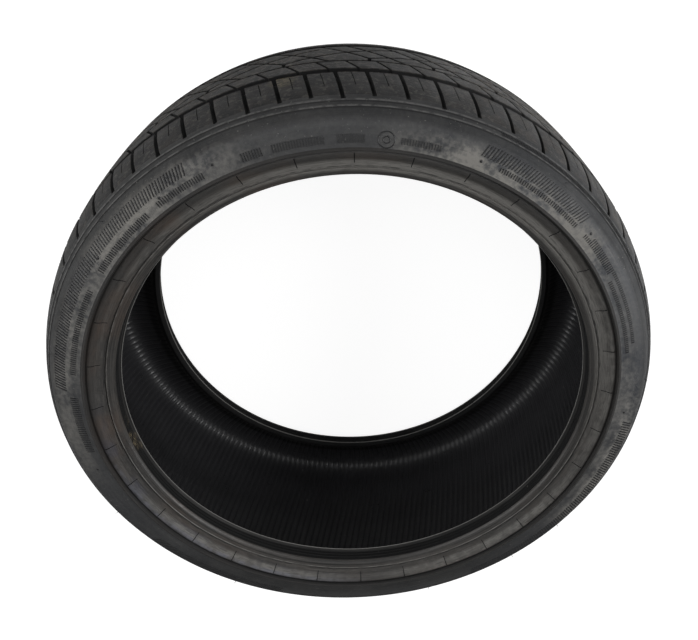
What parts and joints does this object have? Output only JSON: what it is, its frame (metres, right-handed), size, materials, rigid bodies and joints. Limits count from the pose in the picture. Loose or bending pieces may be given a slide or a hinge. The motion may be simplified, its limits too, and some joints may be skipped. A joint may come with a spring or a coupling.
{
  "type": "car tyre",
  "caption": "Low profile road tyre with a ribbed shoulder tread, cut grooves, rim protector edges and round bead seats.",
  "frame": {"origin": "middle of the tyre, on its axis, half way between the two side walls", "axes": "+Z along the tyre's axis, out of the side wall that lies up; X and Y across it"},
  "size_m": [0.647, 0.647, 0.2524],
  "materials": {
    "tyre_rubber": "semi-matte moulded rubber"
  },
  "bodies": {
    "root": {"tyre": "tyre_rubber"}
  },
  "joints": []
}
